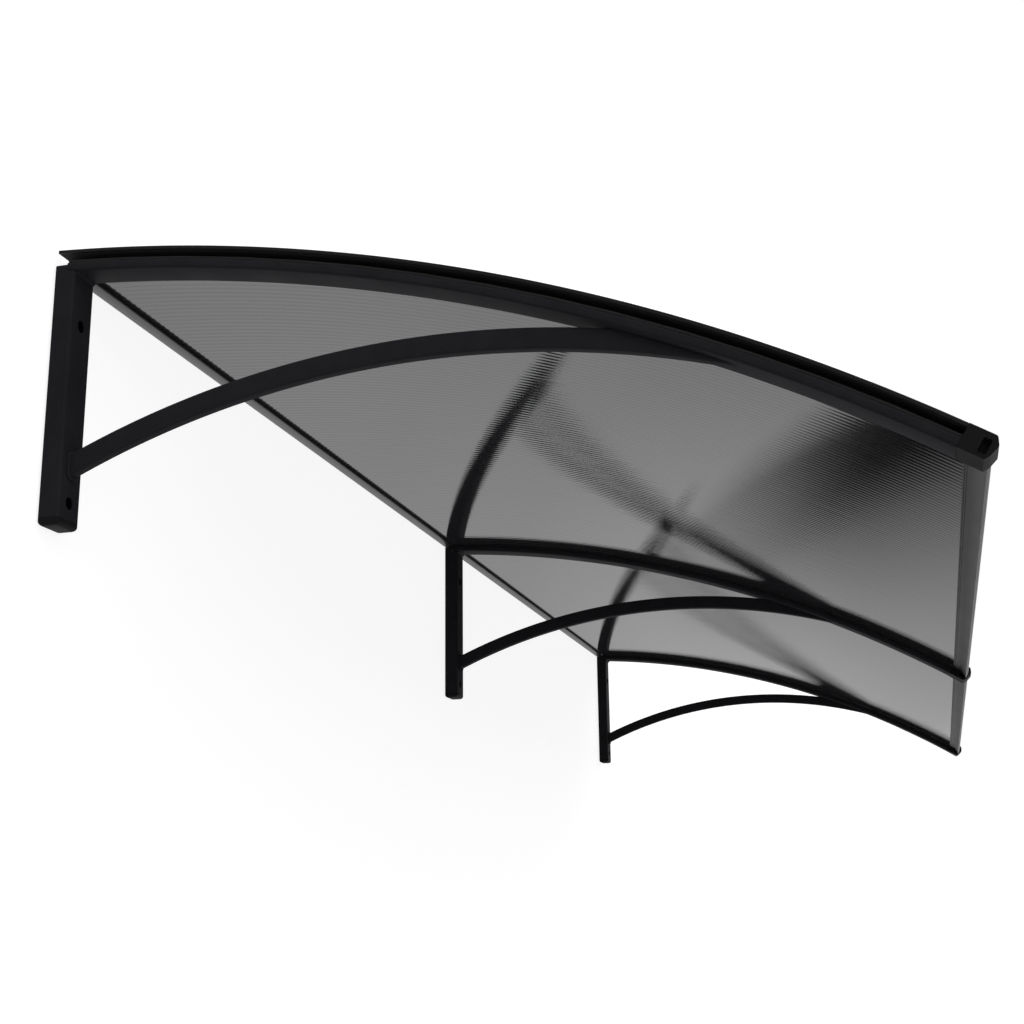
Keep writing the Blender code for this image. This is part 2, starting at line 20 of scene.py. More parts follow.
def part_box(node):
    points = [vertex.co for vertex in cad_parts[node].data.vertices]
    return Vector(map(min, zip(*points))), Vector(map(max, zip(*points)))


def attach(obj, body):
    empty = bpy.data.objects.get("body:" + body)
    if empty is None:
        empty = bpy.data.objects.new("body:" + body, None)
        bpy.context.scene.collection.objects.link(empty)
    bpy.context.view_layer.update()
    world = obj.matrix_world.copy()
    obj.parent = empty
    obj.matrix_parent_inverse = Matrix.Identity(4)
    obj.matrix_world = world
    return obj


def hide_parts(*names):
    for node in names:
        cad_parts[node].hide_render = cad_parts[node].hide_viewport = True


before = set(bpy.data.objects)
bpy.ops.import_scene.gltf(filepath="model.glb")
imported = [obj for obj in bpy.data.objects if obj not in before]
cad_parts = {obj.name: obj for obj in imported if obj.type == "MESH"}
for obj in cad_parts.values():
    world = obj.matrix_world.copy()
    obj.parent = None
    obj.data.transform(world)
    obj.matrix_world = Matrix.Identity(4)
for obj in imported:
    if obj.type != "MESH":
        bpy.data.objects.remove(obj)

log = logging.getLogger("canopy")
ROOT_BODY = "root"
SMOOTH_BELOW = radians(32)
Point2 = tuple[float, float]
Loop2 = list[Point2]
Placer = Callable[[float, float, float], Vector]


class Slot(Enum):
    """The record's material slots, listed with the finer pieces."""

    POWDER = "powder_coat"
    ALUMINIUM = "coated_aluminium"
    GLAZING = "smoke_polycarbonate"
    PLASTIC = "moulded_plastic"
    STEEL = "screw_steel"


# Geometry of the roof

@dataclass(frozen=True)
class Arc:
    """A circle in the plane across the wall; its angles lean forward from straight up."""

    centre_y: float
    centre_z: float
    radius: float

    def point(self, x: float, rise: float, angle: float) -> Vector:
        """Place a point outside the circle.

        Args:
            x: place along the wall.
            rise: distance outside the circle.
            angle: radians forward of straight up.

        Returns:
            The point.
        """
        reach = self.radius + rise
        return Vector((x, self.centre_y - reach * sin(angle), self.centre_z + reach * cos(angle)))

    def angle_at(self, y: float, rise: float = 0.0) -> float:
        """Return the angle where the circle of that rise crosses Y = y."""
        return asin((self.centre_y - y) / (self.radius + rise))

    def level_at(self, y: float, rise: float) -> float:
        """Return the height of the circle of that rise at Y = y."""
        return self.point(0, rise, self.angle_at(y, rise)).z

    def angle_meeting(self, other: "Arc", rise: float, other_rise: float) -> float:
        """Return the forward angle where the circle of that rise meets the other one."""
        own = self.radius + rise
        theirs = other.radius + other_rise
        run = other.centre_y - self.centre_y
        climb = other.centre_z - self.centre_z
        between = hypot(run, climb)
        spread = acos((own ** 2 + between ** 2 - theirs ** 2) / (2 * own * between))
        return atan2(-run, climb) + spread


@dataclass(frozen=True)
class CanopySizes:
    """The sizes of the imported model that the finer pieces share."""

    bay_width: float = 1.175
    gap: float = 0.0003
    width: float = 0.0348
    depth: float = 0.0214
    foot_z: float = -0.1084
    upright_top: float = 0.1419
    fixing: float = 0.0853
    roof: Arc = Arc(0.0916, -1.543105, 1.6822)
    brace: Arc = Arc(-0.3752, -0.8313, 0.8474)
    arm_end: float = radians(31.575)
    arm_setback: float = 0.0131
    arm_height: float = 0.009
    sheet_low: float = 0.0116
    sheet_high: float = 0.0176
    sheet_to_middle: float = 0.004
    sheet_lap: float = 0.012
    sheet_rear: float = -0.0018
    strip_low: float = 0.0179
    strip_top: float = 0.0214
    strip_setback: float = 0.003

    @property
    def sides(self) -> dict[str, float]:
        """Return each bracket's name and its place along the wall."""
        return {"left": -self.bay_width, "middle": 0.0, "right": self.bay_width}

    def front(self, reach: float, rise: float) -> Point2:
        """Return Y and Z of a point of a front section."""
        corner = self.roof.point(0, 0, self.arm_end)
        slope = self.arm_end
        return (corner.y - reach * cos(slope) - rise * sin(slope),
                corner.z - reach * sin(slope) + rise * cos(slope))


SIZES = CanopySizes()


# Drawing and sweeping sections

def bow(centre: Point2, radius: float, first: float, last: float, steps: int) -> Loop2:
    """Return points on an arc between two angles in degrees."""
    turns = [radians(first + (last - first) * step / steps) for step in range(steps + 1)]
    return [(centre[0] + radius * cos(turn), centre[1] + radius * sin(turn)) for turn in turns]


def rounded(left: float, right: float, low: float, high: float, radius: float, steps: int = 6) -> Loop2:
    """Return a rectangle with round corners, anticlockwise."""
    corners = ((right - radius, low + radius, -90), (right - radius, high - radius, 0),
               (left + radius, high - radius, 90), (left + radius, low + radius, 180))
    return [point for a, b, first in corners for point in bow((a, b), radius, first, first + 90, steps)]


def oblong(left: float, right: float, low: float, high: float) -> Loop2:
    """Return a rectangle with sharp corners, anticlockwise."""
    return [(left, low), (right, low), (right, high), (left, high)]


def tube(left: float, right: float, low: float, high: float, radius: float, wall: float) -> list[Loop2]:
    """Return the outline and the hollow of a tube with round corners."""
    return [rounded(left, right, low, high, radius),
            rounded(left + wall, right - wall, low + wall, high - wall, radius - wall)]


def filleted(corners: Sequence[Point2], radii: Sequence[float], steps: int = 5) -> Loop2:
    """Round the corners of an outline.

    Args:
        corners: the sharp outline.
        radii: one radius for each corner; 0 keeps it sharp.
        steps: the faces in each round.

    Returns:
        The outline with its rounds.
    """
    outline: Loop2 = []
    for i, (corner, radius) in enumerate(zip(corners, radii)):
        here = Vector(corner)
        back = (Vector(corners[i - 1]) - here).normalized()
        ahead = (Vector(corners[(i + 1) % len(corners)]) - here).normalized()
        if radius == 0:
            outline.append(corner)
            continue
        half = back.angle(ahead) / 2
        centre = here + (back + ahead).normalized() * radius / sin(half)
        start = here + back * radius / tan(half) - centre
        turn = (pi - 2 * half) * (1 if back.cross(ahead) < 0 else -1)
        outline += [tuple(centre + Matrix.Rotation(turn * step / steps, 2) @ start) for step in range(steps + 1)]
    return outline


def closed_mesh(body: bmesh.types.BMesh, name: str) -> Mesh:
    """Turn a finished closed bmesh into a smooth-shaded mesh whose faces point out."""
    bmesh.ops.recalc_face_normals(body, faces=body.faces)
    mesh = bpy.data.meshes.new(name)
    body.to_mesh(mesh)
    body.free()
    if sum(face.center.dot(face.normal) * face.area for face in mesh.polygons) < 0:
        mesh.flip_normals()
    mesh.shade_smooth()
    mesh.set_sharp_from_angle(angle=SMOOTH_BELOW)
    return mesh


def swept(name: str, loops: Sequence[Loop2], place: Placer, steps: int, length: float) -> Mesh:
    """Carry a section from station 0 to station 1.

    Args:
        name: the mesh's name.
        loops: the outline, then any hollows.
        place: gives the place of a section point at a station.
        steps: the number of steps between the ends.
        length: the run's length, for the UV map that the finishes follow.

    Returns:
        The closed mesh; U runs along it and V round its section, in metres.
    """
    body = bmesh.new()
    chart = body.loops.layers.uv.new("UVMap")
    ends: tuple[list, list] = ([], [])
    for loop in loops:
        count = len(loop)
        around = [0.0]
        for j in range(count):
            around.append(around[-1] + dist(loop[j], loop[(j + 1) % count]))
        rings = [[body.verts.new(place(a, b, step / steps)) for a, b in loop] for step in range(steps + 1)]
        for s, (ring, following) in enumerate(zip(rings, rings[1:])):
            for j in range(count):
                k = (j + 1) % count
                face = body.faces.new((ring[j], ring[k], following[k], following[j]))
                for corner, (u, v) in zip(face.loops, ((s, j), (s, j + 1), (s + 1, j + 1), (s + 1, j))):
                    corner[chart].uv = (u / steps * length, around[v])
        for edges, ring in zip(ends, (rings[0], rings[-1])):
            edges += [body.edges.get((ring[j - 1], ring[j])) for j in range(count)]
    for edges in ends:
        bmesh.ops.triangle_fill(body, edges=edges, use_beauty=True)
    return closed_mesh(body, name)


def drilled(mesh: Mesh, cutters: Sequence[Mesh]) -> Mesh:
    """Return the mesh less each cutter mesh."""
    holder = linked("holder", mesh)
    tools = [linked("cutter", cutter) for cutter in cutters]
    for tool in tools:
        cut = holder.modifiers.new("cut", "BOOLEAN")
        cut.operation = "DIFFERENCE"
        cut.solver = "EXACT"
        cut.object = tool
    state = bpy.context.evaluated_depsgraph_get()
    result = bpy.data.meshes.new_from_object(holder.evaluated_get(state))
    for thing in (holder, *tools):
        bpy.data.objects.remove(thing, do_unlink=True)
    result.set_sharp_from_angle(angle=SMOOTH_BELOW)
    return result


def joined(meshes: Sequence[Mesh]) -> Mesh:
    """Return one mesh that holds several closed ones."""
    body = bmesh.new()
    for mesh in meshes:
        body.from_mesh(mesh)
    body.to_mesh(meshes[0])
    body.free()
    return meshes[0]


def cylinder(radius: float, start: Vector, end: Vector, sides: int = 32) -> Mesh:
    """Return a closed cylinder between two points."""
    axis = end - start
    body = bmesh.new()
    place = Matrix.Translation((start + end) / 2) @ axis.to_track_quat("Z", "Y").to_matrix().to_4x4()
    bmesh.ops.create_cone(body, cap_ends=True, segments=sides, radius1=radius, radius2=radius,
                          depth=axis.length, matrix=place)
    return closed_mesh(body, "cylinder")


def along_wall(left: float, right: float, place: Callable[[float, float], Point2] = lambda a, b: (a, b)) -> Placer:
    """Return a placer for sections in Y and Z, or mapped to them, between two values of X."""
    def put(a: float, b: float, station: float) -> Vector:
        """Place one point."""
        return Vector((left + (right - left) * station, *place(a, b)))
    return put


def down_roof(x: float, setback: float, last: float) -> Placer:
    """Return a placer for roof sections from an upright end near the wall to an angle."""
    def put(a: float, rise: float, station: float) -> Vector:
        """Place one point."""
        first = SIZES.roof.angle_at(-setback, rise)
        return SIZES.roof.point(x + a, rise, first + (last - first) * station)
    return put


def linked(name: str, mesh: Mesh) -> Object:
    """Return a new object at the origin that shows a mesh."""
    mesh.name = name
    thing = bpy.data.objects.new(name, mesh)
    bpy.context.scene.collection.objects.link(thing)
    return thing


# Node helpers

class Nodes:
    """Builds one node tree with short calls."""

    def __init__(self, tree: NodeTree) -> None:
        """Keep the tree that the calls add to."""
        self.tree = tree

    def add(self, kind: str, **properties: object) -> Node:
        """Return a new node with some of its properties set."""
        node = self.tree.nodes.new(kind)
        for name, value in properties.items():
            setattr(node, name, value)
        return node

    def put(self, node: Node, **inputs: object) -> Node:
        """Set or link inputs.

        Args:
            node: the node whose inputs are set.
            inputs: by name, with underscores for spaces, a value or an output socket.

        Returns:
            The same node.
        """
        for name, value in inputs.items():
            self.feed(node.inputs[name.replace("_", " ")], value)
        return node

    def made(self, kind: str, result: int | str = 0, **inputs: object) -> NodeSocket:
        """Return one output of a new node with some of its inputs set."""
        return self.put(self.add(kind), **inputs).outputs[result]

    def feed(self, socket: NodeSocket, value: object) -> None:
        """Link an output socket to an input, or set the input's plain value."""
        if isinstance(value, NodeSocket):
            self.tree.links.new(value, socket)
        else:
            socket.default_value = value

    def math(self, operation: str, *operands: object) -> NodeSocket:
        """Return the result of a Math node on values or sockets."""
        node = self.add("ShaderNodeMath", operation=operation)
        for socket, value in zip(node.inputs, operands):
            self.feed(socket, value)
        return node.outputs[0]

    def blend(self, share: object, first: object, second: object) -> NodeSocket:
        """Return a colour between two, by a share or a mask."""
        node = self.add("ShaderNodeMix", data_type="RGBA")
        self.feed(node.inputs[0], share)
        self.feed(node.inputs[6], first)
        self.feed(node.inputs[7], second)
        return node.outputs[2]

    def spread(self, value: object, low: float, high: float, start: float = 0.0,
               end: float = 1.0) -> NodeSocket:
        """Return a value mapped from start..end to low..high."""
        return self.made("ShaderNodeMapRange", Value=value, From_Min=start, From_Max=end, To_Min=low, To_Max=high)

    def ramp(self, value: object, stops: Sequence[Point2]) -> NodeSocket:
        """Return the grey that a ramp of (place, level) stops gives a value."""
        node = self.add("ShaderNodeValToRGB")
        self.feed(node.inputs[0], value)
        elements = node.color_ramp.elements
        while len(elements) < len(stops):
            elements.new(0.5)
        for element, (place, level) in zip(elements, sorted(stops)):
            element.position = place
            element.color = opaque((level,) * 3)
        return node.outputs[0]

    def noise(self, place: object, scale: float, detail: float = 2.0) -> NodeSocket:
        """Return a noise mask."""
        return self.made("ShaderNodeTexNoise", "Fac", Vector=place, Scale=scale, Detail=detail)

    def stretched(self, place: object, scale: tuple[float, float, float]) -> NodeSocket:
        """Return coordinates that a Mapping node has scaled."""
        return self.made("ShaderNodeMapping", Vector=place, Scale=scale)


def group_sockets(tree: NodeTree, kind: str, names: Iterable[str], way: str) -> None:
    """Give a node group sockets of one kind."""
    for name in names:
        tree.interface.new_socket(name, in_out=way, socket_type=kind)


def geometry_tree(name: str, floats: Iterable[str], whole: Iterable[str] = (), vectors: Iterable[str] = ()) -> Nodes:
    """Start a geometry tree with a geometry socket, sizes, counts, points and a finish.

    Args:
        name: the tree's name.
        floats: names of its sizes.
        whole: names of its counts.
        vectors: names of its points.

    Returns:
        The tree's node builder.
    """
    tree = bpy.data.node_groups.new(name, "GeometryNodeTree")
    for kind, names in (("Geometry", ["Geometry"]), ("Float", floats), ("Int", whole), ("Vector", vectors),
                        ("Material", ["Finish"])):
        group_sockets(tree, f"NodeSocket{kind}", names, "INPUT")
    group_sockets(tree, "NodeSocketGeometry", ["Geometry"], "OUTPUT")
    return Nodes(tree)


def close_tree(nodes: Nodes, parts: Iterable[NodeSocket], finish: NodeSocket) -> None:
    """End a geometry tree: join the parts, make them real and give them their finish."""
    whole = nodes.add("GeometryNodeJoinGeometry")
    for part in parts:
        nodes.feed(whole.inputs[0], part)
    real = nodes.made("GeometryNodeRealizeInstances", Geometry=whole.outputs[0])
    dressed = nodes.made("GeometryNodeSetMaterial", Geometry=real, Material=finish)
    nodes.feed(nodes.add("NodeGroupOutput").inputs[0], dressed)


def grown(seed: Mesh, nodes: Nodes, name: str, **values: object) -> Mesh:
    """Run a geometry tree on a seed mesh.

    Args:
        seed: the mesh that the tree is given.
        nodes: the tree's builder.
        name: the new mesh's name.
        values: the tree's inputs by name, with underscores for spaces.

    Returns:
        The plain mesh that the tree makes.
    """
    thing = linked("seed", seed)
    modifier = thing.modifiers.new(nodes.tree.name, "NODES")
    modifier.node_group = nodes.tree
    places = {item.name: item.identifier for item in nodes.tree.interface.items_tree if item.in_out == "INPUT"}
    for key, value in values.items():
        modifier[places[key.replace("_", " ")]] = value
    state = bpy.context.evaluated_depsgraph_get()
    mesh = bpy.data.meshes.new_from_object(thing.evaluated_get(state))
    thing.modifiers.clear()
    bpy.data.objects.remove(thing, do_unlink=True)
    mesh.name = name
    mesh.shade_smooth()
    mesh.set_sharp_from_angle(angle=SMOOTH_BELOW)
    return mesh


# Shared shader groups

def opaque(colour: Sequence[float], gain: float = 1.0) -> tuple[float, float, float, float]:
    """Return a colour, made lighter or darker, with full alpha."""
    return (colour[0] * gain, colour[1] * gain, colour[2] * gain, 1.0)


def shader_group(name: str, floats: Iterable[str], results: Iterable[str]) -> tuple[Nodes, Node, Node]:
    """Start a shader group that takes a Vector and some values.

    Args:
        name: the group's name.
        floats: names of the values that it takes.
        results: names of the values that it gives out.

    Returns:
        The group's node builder, its input node and its output node.
    """
    tree = bpy.data.node_groups.new(name, "ShaderNodeTree")
    group_sockets(tree, "NodeSocketVector", ["Vector"], "INPUT")
    group_sockets(tree, "NodeSocketFloat", floats, "INPUT")
    group_sockets(tree, "NodeSocketFloat", results, "OUTPUT")
    nodes = Nodes(tree)
    return nodes, nodes.add("NodeGroupInput"), nodes.add("NodeGroupOutput")


def grain_group() -> NodeTree:
    """Build the group that gives paint and plastic their clouds, fine grain and specks."""
    nodes, given, out = shader_group("surface grain", ("Cloud Scale", "Grain Scale"), ("Cloud", "Grain", "Specks"))
    place, clouds, grains = given.outputs[:3]
    dots = nodes.made("ShaderNodeTexVoronoi", "Distance", Vector=place, Scale=grains)
    nodes.put(out, Cloud=nodes.spread(nodes.noise(place, clouds, 3.0), 0.0, 1.0, 0.3, 0.7),
              Grain=nodes.noise(place, grains, 2.0), Specks=nodes.spread(dots, 1.0, 0.0, 0.05, 0.16))
    return nodes.tree


def draw_line_group() -> NodeTree:
    """Build the group that gives extruded metal its fine lines, from a Vector of (along, around, 0)."""
    nodes, given, out = shader_group("extrusion lines", ("Lines",), ("Line", "Drift"))
    place, lines = given.outputs[:2]
    drawn = nodes.stretched(place, (0.012, 1.0, 1.0))
    nodes.put(out, Line=nodes.noise(drawn, lines, 3.0), Drift=nodes.noise(place, 9.0, 2.0))
    return nodes.tree


def plain_material(name: str) -> tuple[Material, Nodes]:
    """Return a new material that uses nodes, and its node builder."""
    material = bpy.data.materials.new(name)
    material.use_nodes = True
    return material, Nodes(material.node_tree)


@dataclass(frozen=True)
class Finish:
    """The base of the finishes: a name, a colour and how rough and how bright its gloss is."""

    name: str
    colour: tuple[float, float, float]
    roughness: float
    gloss: float

    def start(self) -> tuple[Material, Nodes, Node]:
        """Return a new material, its node builder and its Principled shader."""
        material, nodes = plain_material(self.name)
        shader = nodes.put(nodes.tree.nodes["Principled BSDF"], Specular_IOR_Level=self.gloss)
        return material, nodes, shader

    def played(self, nodes: Nodes, group: NodeTree, chart: str, **values: float) -> bpy.types.bpy_prop_collection:
        """Return the outputs of a shared group placed on Object or UV coordinates."""
        place = nodes.made("ShaderNodeTexCoord", chart)
        return nodes.put(nodes.add("ShaderNodeGroup", node_tree=group), Vector=place, **values).outputs

    def toned(self, nodes: Nodes, share: object, dark: float, light: float) -> NodeSocket:
        """Return the finish's colour, made darker to lighter by a mask."""
        return nodes.blend(share, opaque(self.colour, dark), opaque(self.colour, light))

    def relief(self, nodes: Nodes, shader: Node, height: object, depth: float) -> None:
        """Give the shader a bump of that depth in metres."""
        bump = nodes.put(nodes.add("ShaderNodeBump"), Strength=1.0, Distance=depth, Height=height)
        nodes.put(shader, Normal=bump.outputs[0])


@dataclass(frozen=True)
class GrainFinish(Finish):
    """Powder coat, moulded plastic or rubber: a cloudy tone over a fine grain."""

    cloud_scale: float = 30.0
    grain_scale: float = 700.0
    depth: float = 0.00002
    speck_tone: float = 1.3

    def build(self, grain: NodeTree) -> Material:
        """Return the material, given the grain group."""
        material, nodes, shader = self.start()
        play = self.played(nodes, grain, "Object", Cloud_Scale=self.cloud_scale, Grain_Scale=self.grain_scale)
        tone = self.toned(nodes, play["Cloud"], 0.85, 1.15)
        nodes.put(shader, Base_Color=nodes.blend(play["Specks"], tone, opaque(self.colour, self.speck_tone)),
                  Roughness=nodes.spread(play["Cloud"], self.roughness - 0.05, self.roughness + 0.05))
        self.relief(nodes, shader, play["Grain"], self.depth)
        return material


@dataclass(frozen=True)
class ExtrudedFinish(Finish):
    """Coated aluminium: lengthwise lines under a satin black coat."""

    lines: float = 1400.0
    depth: float = 0.00001

    def build(self, drawn: NodeTree) -> Material:
        """Return the material, given the extrusion line group."""
        material, nodes, shader = self.start()
        play = self.played(nodes, drawn, "UV", Lines=self.lines)
        rough = nodes.math("ADD", nodes.spread(play["Line"], -0.06, 0.06),
                           nodes.spread(play["Drift"], self.roughness - 0.04, self.roughness + 0.04))
        nodes.put(shader, Base_Color=self.toned(nodes, play["Line"], 0.75, 1.25), Roughness=rough)
        self.relief(nodes, shader, play["Line"], self.depth)
        return material


@dataclass(frozen=True)
class ScrewFinish(Finish):
    """Blackened steel with a worn, slightly bright grain."""

    def build(self, grain: NodeTree) -> Material:
        """Return the material, given the grain group."""
        material, nodes, shader = self.start()
        play = self.played(nodes, grain, "Object", Cloud_Scale=900.0, Grain_Scale=4000.0)
        nodes.put(shader, Metallic=0.85, Base_Color=self.toned(nodes, play["Cloud"], 0.7, 1.8),
                  Roughness=nodes.spread(play["Grain"], self.roughness - 0.1, self.roughness + 0.1))
        return material


@dataclass(frozen=True)
class GlazingFinish(Finish):
    """Smoke polycarbonate: each skin is faintly wavy between the webs, so reflections streak."""

    index: float = 1.58
    wave_pitch: float = 0.010
    wave_depth: float = 0.000055
    cover: tuple[Point2, ...] = ((0.0, 0.36), (0.3, 0.48), (0.6, 0.92), (0.8, 1.0))

    def build(self) -> Material:
        """Return the material."""
        material, nodes, shader = self.start()
        place = nodes.made("ShaderNodeTexCoord", "Object")
        across = nodes.made("ShaderNodeSeparateXYZ", "X", Vector=place)
        wave = nodes.math("COSINE", nodes.math("MULTIPLY", across, 2 * pi / self.wave_pitch))
        uneven = nodes.noise(nodes.stretched(place, (60.0, 1.5, 0.0)), 1.0, 2.0)
        height = nodes.math("ADD", nodes.math("MULTIPLY", wave, 0.5), uneven)
        haze = nodes.noise(place, 5.0, 3.0)
        facing = nodes.made("ShaderNodeLayerWeight", "Facing", Blend=0.5)
        nodes.put(shader, IOR=self.index, Base_Color=self.toned(nodes, uneven, 0.85, 1.15),
                  Roughness=nodes.spread(haze, self.roughness - 0.015, self.roughness + 0.015),
                  Alpha=nodes.ramp(facing, self.cover))
        self.relief(nodes, shader, height, self.wave_depth)
        return material


@dataclass
class Finishes:
    """Every finish of the canopy, built once."""

    def __post_init__(self) -> None:
        """Build the shared groups and the materials."""
        grain = grain_group()
        drawn = draw_line_group()
        self.powder = GrainFinish("satin black powder coat", (0.019, 0.019, 0.022), 0.6, 0.03).build(grain)
        self.plastic = GrainFinish("black moulded plastic", (0.010, 0.010, 0.0108), 0.6, 0.04, grain_scale=1600.0,
                                   depth=0.00003).build(grain)
        self.rubber = GrainFinish("matt black rubber", (0.008,) * 3, 0.75, 0.2, grain_scale=1200.0).build(grain)
        self.aluminium = ExtrudedFinish("black coated aluminium", (0.006, 0.006, 0.0068), 0.4, 0.16).build(drawn)
        # A lighter copy of the black coated aluminium: painted light, so the wall rail's faces read lighter.
        self.rail = ExtrudedFinish("black coated aluminium with painted light, wall rail", (0.011, 0.011, 0.012), 0.3, 0.4).build(drawn)
        # A darker copy of the black coated aluminium: painted shade on the cover strip.
        self.strip = ExtrudedFinish("black coated aluminium with painted shade, cover strip", (0.005, 0.005, 0.0056), 0.42, 0.1).build(drawn)
        self.steel = ScrewFinish("blackened screw steel", (0.05, 0.05, 0.052), 0.35, 0.5).build(grain)
        self.glazing = GlazingFinish("smoke twin-wall polycarbonate", (0.0215, 0.022, 0.0245), 0.072, 0.46).build()


def place_piece(piece: Object, finish: Material | None, replaced: Sequence[str]) -> None:
    """Dress a finished piece and say what it stands for.

    Args:
        piece: the new piece, at the origin.
        finish: its material, or None where its mesh already carries one.
        replaced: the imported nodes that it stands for.
    """
    if finish is not None:
        piece.data.materials.clear()
        piece.data.materials.append(finish)
    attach(piece, ROOT_BODY)
    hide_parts(*replaced)
    log.info("%s: %d faces for %s", piece.name, len(piece.data.polygons), ", ".join(replaced))


def place_parts(owner: str, made: Iterable[tuple[Mesh, str, Material | None, Slot]]) -> None:
    """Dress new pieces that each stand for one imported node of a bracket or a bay.

    Args:
        owner: the name of the bracket or the bay.
        made: mesh, part, finish and slot of each piece.
    """
    for mesh, part, finish, slot in made:
        node = f"{owner}_{part}"
        place_piece(linked(f"{node}_fine", mesh), finish, [node])


# Brackets

@dataclass
class Bracket:
    """One bracket: upright, plug, arm, brace, weld, cover strip with screws, and front cap."""

    name: str
    x: float
    glazed_sides: tuple[int, ...]
    half: float = SIZES.width / 2
    tube_wall: float = 0.0016
    corner: float = 0.003
    plug_height: float = 0.007
    plug_round: float = 0.0045
    plug_ease: float = 1.6
    bore: float = 0.0085
    tool_bore: float = 0.012
    seat_cut: float = 0.03
    arm_corner: float = 0.0028
    brace_width: float = 0.012
    brace_height: float = 0.0191
    brace_corner: float = 0.0022
    brace_wall: float = 0.0015
    brace_run: float = 0.65
    weld_out: float = 0.0011
    weld_lead: float = 0.0008
    bead: float = 0.0021
    bead_step: float = 0.0004
    ripple: float = 0.3
    ripple_length: float = 0.0027
    strip_wall: float = 0.0017
    strip_round: float = 0.0012
    cap_nose: tuple[Point2, ...] = ((0.0225, 0), (0.0255, 0.0045), (0.0278, 0.0145))
    cap_top: float = 0.0235
    cap_rounds: tuple[float, ...] = (0, 0.0015, 0.003, 0.003, 0.003, 0)
    recess: tuple[float, ...] = (0.0148, 0.0218, 0.0035, 0.0165, 0.0015)
    recess_depth: float = 0.009
    roof_steps: int = 64
    roof_run: float = SIZES.roof.radius * SIZES.arm_end
    brace_steps: int = 56

    def build(self, finishes: Finishes, weld: Nodes, screws: Nodes) -> None:
        """Make and dress every piece of the bracket.

        Args:
            finishes: the canopy's materials.
            weld: the tree that makes weld beads.
            screws: the tree that sets screws along the roof.
        """
        made = ((self.upright(), "upright", finishes.powder, Slot.POWDER),
                (self.arm(), "arm", finishes.powder, Slot.POWDER),
                (self.brace(), "brace", finishes.powder, Slot.POWDER),
                (self.brace_weld(weld, finishes.powder), "brace_weld", None, Slot.POWDER),
                (self.cover_strip(), "cover_strip", finishes.strip, Slot.ALUMINIUM),
                (self.front_cap(), "front_cap", finishes.plastic, Slot.PLASTIC),
                (self.foot_plug(), "foot_plug", finishes.plastic, Slot.PLASTIC))
        place_parts(self.name, made)
        mesh, names = self.screws(screws, finishes.steel)
        place_piece(linked(f"{self.name}_strip_screws", mesh), None, names)

    def upright(self) -> Mesh:
        """Return the upright: a rounded tube with two fixing holes and a top cut to seat the arm."""
        back = -SIZES.depth
        low = SIZES.foot_z + self.plug_height + SIZES.gap
        height = SIZES.upright_top - low
        section = tube(self.x - self.half, self.x + self.half, back, 0.0, self.corner, self.tube_wall)
        body = swept("upright", section, lambda x, y, t: Vector((x, y, low + height * t)), 1, height)
        seat = oblong(-2 * self.half, 2 * self.half, -SIZES.gap, self.seat_cut)
        under_arm = down_roof(self.x, SIZES.arm_setback - SIZES.gap, SIZES.roof.angle_at(2 * back))
        cutters = [swept("seat", [seat], under_arm, 6, 0.05)]
        reach = Vector((0, SIZES.depth, 0))
        for z in (-SIZES.fixing, SIZES.fixing):
            middle = Vector((self.x, back / 2, z))
            cutters += [cylinder(self.bore / 2, middle, middle + reach),
                        cylinder(self.tool_bore / 2, middle - reach, middle)]
        return drilled(body, cutters)

    def foot_plug(self) -> Mesh:
        """Return the moulded plug that closes the upright's foot with well rounded lower edges."""
        deep = SIZES.depth / 2
        edge = self.plug_round

        def place(a: float, b: float, station: float) -> Vector:
            """Draw the outline in towards the foot, as a round edge does."""
            rise = self.plug_height * station ** self.plug_ease
            inset = edge - sqrt(edge ** 2 - max(0.0, edge - rise) ** 2)
            return Vector((self.x + a * (1 - inset / self.half), -deep + b * (1 - inset / deep), SIZES.foot_z + rise))
        return swept("plug", [rounded(-self.half, self.half, -deep, deep, self.corner)], place, 14, self.plug_height)

    def screws(self, tree: Nodes, finish: Material) -> tuple[Mesh, list[str]]:
        """Return the cover strip's screws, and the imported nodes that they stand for."""
        names = sorted(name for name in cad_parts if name.startswith(f"{self.name}_strip_screw"))
        roof = SIZES.roof
        middles = [(low + high) / 2 for low, high in map(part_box, names)]
        turns = [atan2(roof.centre_y - middle.y, middle.z - roof.centre_z) for middle in middles]
        mesh = grown(screw_mesh(roof.radius + SIZES.strip_top + SIZES.gap), tree, "screws", Count=len(names),
                     First_Angle=min(turns), Step_Angle=(max(turns) - min(turns)) / (len(names) - 1),
                     Centre=(self.x, roof.centre_y, roof.centre_z), Finish=finish)
        return mesh, names

    def arm(self) -> Mesh:
        """Return the arm: a flat rounded tube bent to the roof's curve."""
        section = tube(-self.half, self.half, 0.0, SIZES.arm_height, self.arm_corner, self.tube_wall)
        return swept("arm", section, down_roof(self.x, SIZES.arm_setback, SIZES.arm_end),
                     self.roof_steps, self.roof_run)

    def brace(self) -> Mesh:
        """Return the brace: a bent tube from the upright's face to the arm's underside."""
        def place(a: float, rise: float, station: float) -> Vector:
            """Place one point between the upright's face and the arm."""
            first = SIZES.brace.angle_at(-SIZES.depth - SIZES.gap, rise)
            last = SIZES.brace.angle_meeting(SIZES.roof, rise, -SIZES.gap)
            return SIZES.brace.point(self.x + a, rise, first + (last - first) * station)
        half = self.brace_width / 2
        section = tube(-half, half, 0.0, self.brace_height, self.brace_corner, self.brace_wall)
        return swept("brace", section, place, self.brace_steps, self.brace_run)

